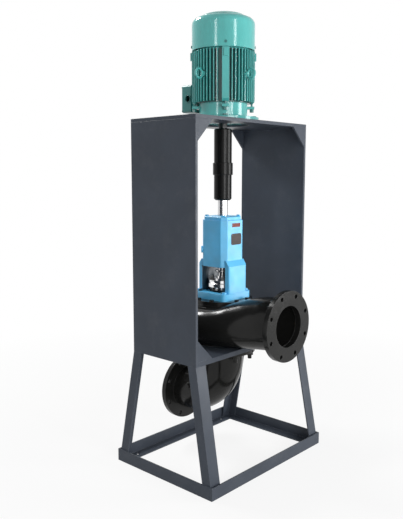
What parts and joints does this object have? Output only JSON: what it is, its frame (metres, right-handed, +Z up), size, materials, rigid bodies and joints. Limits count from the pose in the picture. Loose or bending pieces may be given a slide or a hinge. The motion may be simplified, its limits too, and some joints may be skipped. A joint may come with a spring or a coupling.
{
  "type": "vertical dry pit pump",
  "caption": "Vertical dry pit pump: a tall open steel frame with a flanged motor on top, a coupled vertical shaft line and a volute pump with a suction elbow below.",
  "frame": {"origin": "On the floor under the shaft line, at the centre of the four anchor holes in the base.", "axes": "+Z up along the shaft line; -Y towards the discharge flange at the open front; +Y towards the suction flange at the rear; the side panels are at -X and +X."},
  "size_m": [0.871, 0.7315, 2.206],
  "materials": {
    "frame_paint": "satin dark grey paint",
    "cast_black": "gloss black paint on cast iron",
    "housing_blue": "gloss light blue paint on cast iron",
    "motor_teal": "semi-gloss teal paint",
    "coupling_black": "gloss black paint",
    "cast_iron": "bare cast iron",
    "steel": "turned and ground steel",
    "fastener": "zinc plated steel",
    "stainless": "polished stainless steel",
    "bronze": "cast bronze",
    "copper": "lacquered copper wire",
    "core_steel": "stacked electrical steel",
    "rubber": "moulded rubber",
    "packing": "braided fibre packing",
    "gasket": "sheet gasket",
    "fan_plastic": "moulded plastic"
  },
  "bodies": {
    "frame_and_casings": {"base_rail_front": "frame_paint", "base_rail_rear": "frame_paint", "base_rail_left": "frame_paint", "base_rail_right": "frame_paint", "leg_front_left": "frame_paint", "leg_front_right": "frame_paint", "leg_rear_left": "frame_paint", "leg_rear_right": "frame_paint", "side_panel_left": "frame_paint", "side_panel_right": "frame_paint", "motor_plate": "frame_paint", "pump_plate": "frame_paint", "corner_gussets": "frame_paint", "volute_casing": "cast_black", "casing_cover": "cast_black", "wear_ring": "bronze", "gland_packing": "packing", "gland_follower": "stainless", "gland_studs": "fastener", "bearing_housing": "housing_blue", "bearing_top_cover": "housing_blue", "bearing_cover_bolts": "housing_blue", "pump_outer_races": "steel", "grease_nipples": "fastener", "housing_foot_bolts": "housing_blue", "casing_cover_bolts": "cast_black", "suction_elbow": "cast_black", "suction_studs": "cast_black", "flange_gaskets": "gasket", "drain_plug": "fastener", "motor_flange_shield": "motor_teal", "motor_frame": "motor_teal", "stator_core": "core_steel", "stator_windings": "copper", "motor_outer_races": "steel", "motor_top_shield": "motor_teal", "shield_bolts": "motor_teal", "motor_flange_bolts": "motor_teal", "fan_cowl": "motor_teal", "rain_canopy": "motor_teal", "cover_screws": "motor_teal", "terminal_box": "motor_teal", "terminal_lid": "motor_teal", "cable_bush": "motor_teal", "lifting_eyes": "motor_teal"},
    "rotating_line": {"impeller": "bronze", "impeller_nut": "stainless", "pump_shaft": "stainless", "shaft_sleeve": "stainless", "pump_inner_races": "steel", "shaft_slinger": "stainless", "coupling_motor_hub": "coupling_black", "coupling_pump_hub": "coupling_black", "coupling_spider": "rubber", "coupling_ring": "coupling_black", "shaft_keys": "steel", "rotor_core": "core_steel", "motor_shaft": "steel", "motor_inner_races": "steel", "cooling_fan": "fan_plastic"}
  },
  "joints": [
    {"name": "shaft_spin", "type": "hinge", "parent": "frame_and_casings", "child": "rotating_line", "pos_m": [0, 0, 1.7], "axis": [0, 0, 1], "continuous": true}
  ]
}
